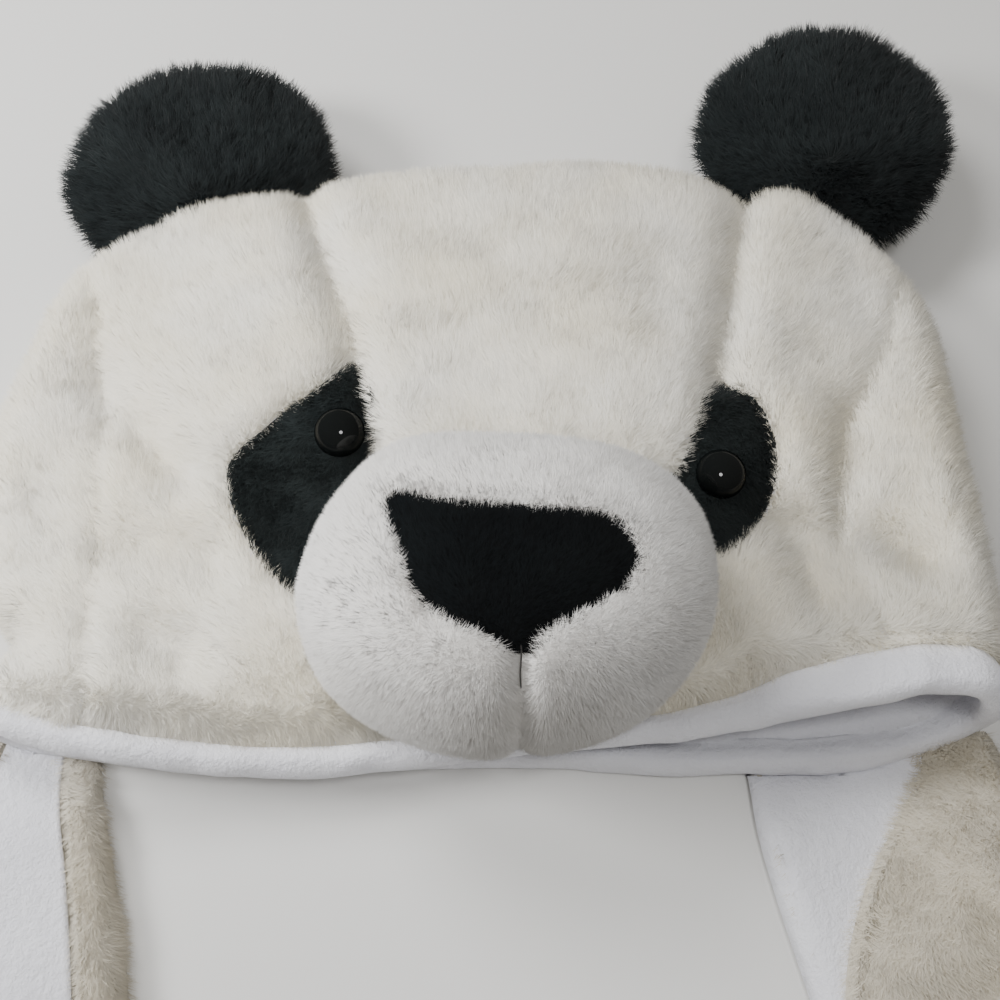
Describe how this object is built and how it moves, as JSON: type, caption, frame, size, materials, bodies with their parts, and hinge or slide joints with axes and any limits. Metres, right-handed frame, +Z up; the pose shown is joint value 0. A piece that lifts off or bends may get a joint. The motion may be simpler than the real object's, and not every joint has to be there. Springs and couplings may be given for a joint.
{
  "type": "plush panda hat with ear flaps, lying on its back",
  "caption": "Soft plush animal hat with a stuffed muzzle, round padded ears, domed eyes, a fleece lining with a rolled hem and hanging ear flaps, laid flat on its back.",
  "frame": {"origin": "middle of the hat's footprint, on the floor that it lies on", "axes": "+X to the right of the face as seen from the front, +Y from the rim to the top of the crown, +Z up, out of the face"},
  "size_m": [0.3122, 0.3674, 0.0867],
  "materials": {
    "white_plush": "off-white short-pile plush with a soft nap",
    "muzzle_plush": "paler, finer off-white plush",
    "white_fleece": "bluish white brushed fleece",
    "black_plush": "black short-pile plush",
    "eye_plastic": "glossy black domed plastic with a thin amber rim"
  },
  "bodies": {
    "root": {"forehead_panel": "white_plush", "cheek_panel_left": "white_plush", "cheek_panel_right": "white_plush", "back_panel": "white_plush", "muzzle": "muzzle_plush", "nose": "black_plush", "eye_patch_left": "black_plush", "eye_patch_right": "black_plush", "eye_left": "eye_plastic", "eye_right": "eye_plastic", "ear_left": "black_plush", "ear_right": "black_plush", "lining": "white_fleece", "rim_hem": "white_fleece", "flap_left": "white_plush", "flap_right": "white_plush", "flap_lining_left": "white_fleece", "flap_lining_right": "white_fleece"}
  },
  "joints": []
}
